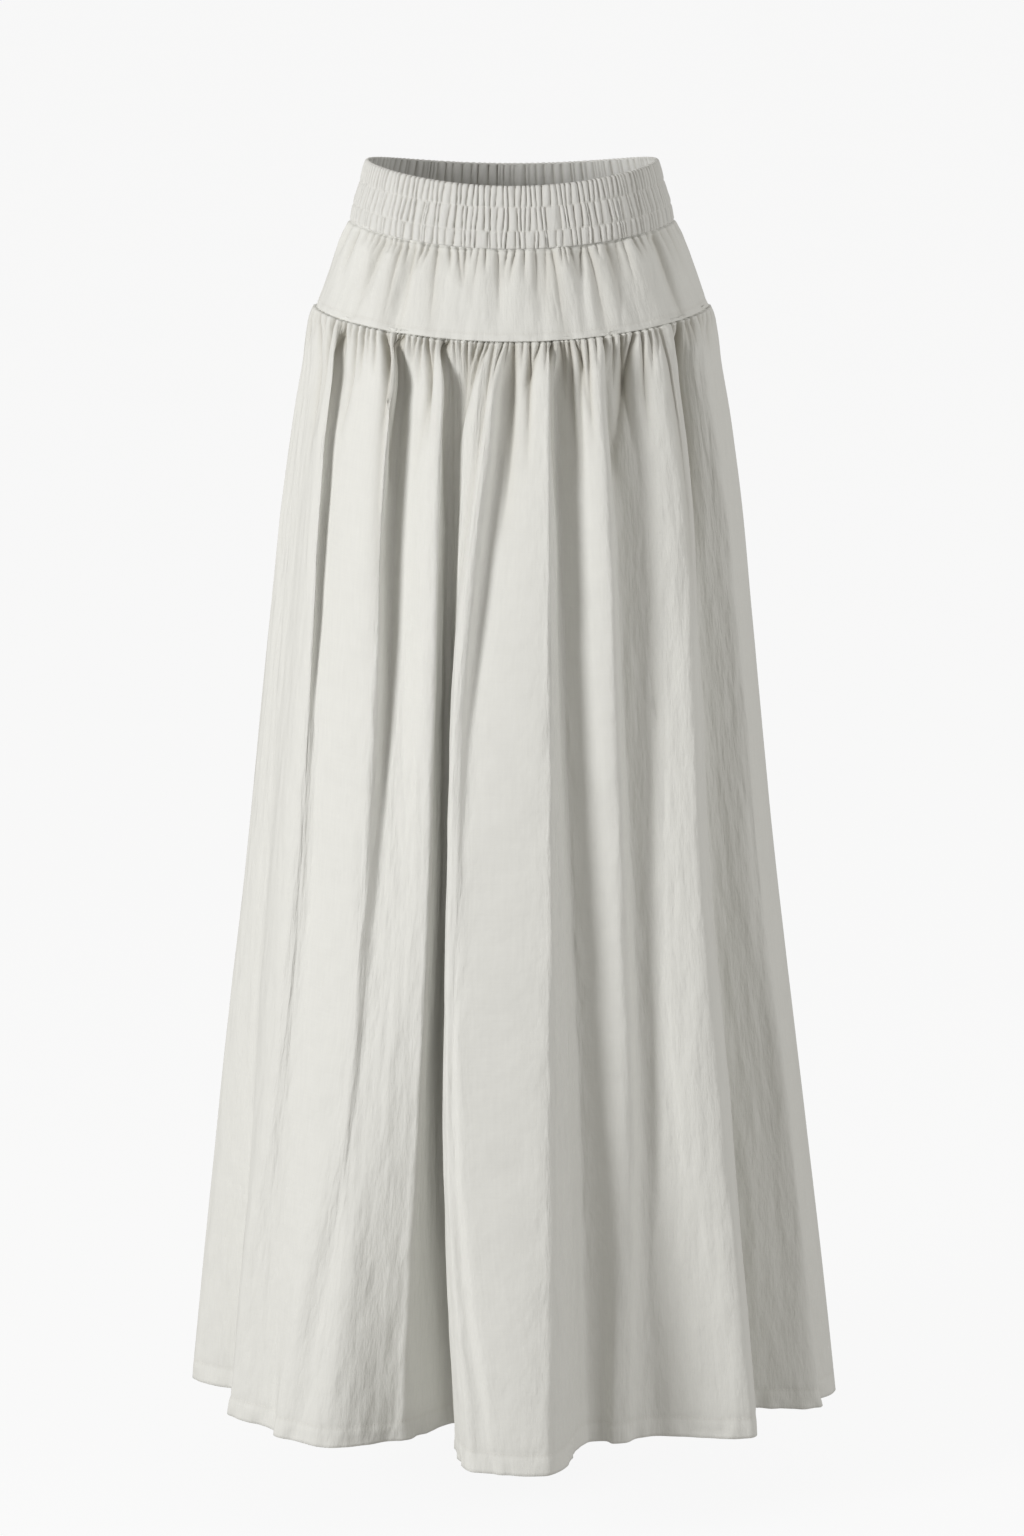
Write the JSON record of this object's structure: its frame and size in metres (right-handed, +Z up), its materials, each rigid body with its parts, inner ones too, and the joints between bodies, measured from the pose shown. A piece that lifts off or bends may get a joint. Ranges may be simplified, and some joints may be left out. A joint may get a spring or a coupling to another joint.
{
  "type": "gathered maxi skirt",
  "caption": "Long gathered skirt with a shirred elastic waistband, a flared hip yoke and a full tier that falls in deep folds to a stitched hem.",
  "frame": {"origin": "middle of the waistband: on the skirt's upright centre line, halfway up the band, where the wearer's waist holds it", "axes": "+Z up, out of the waist; -Y out of the front; +X towards the right side as seen from the front"},
  "size_m": [0.5269, 0.4174, 1.002],
  "materials": {
    "band_cloth": "matt, gathered into fine ribs over elastic",
    "cloth": "matt plain weave with a faint upright slub"
  },
  "bodies": {
    "root": {"waistband": "band_cloth", "yoke_front": "cloth", "yoke_back": "cloth", "skirt_front": "cloth", "skirt_back": "cloth"}
  },
  "joints": []
}
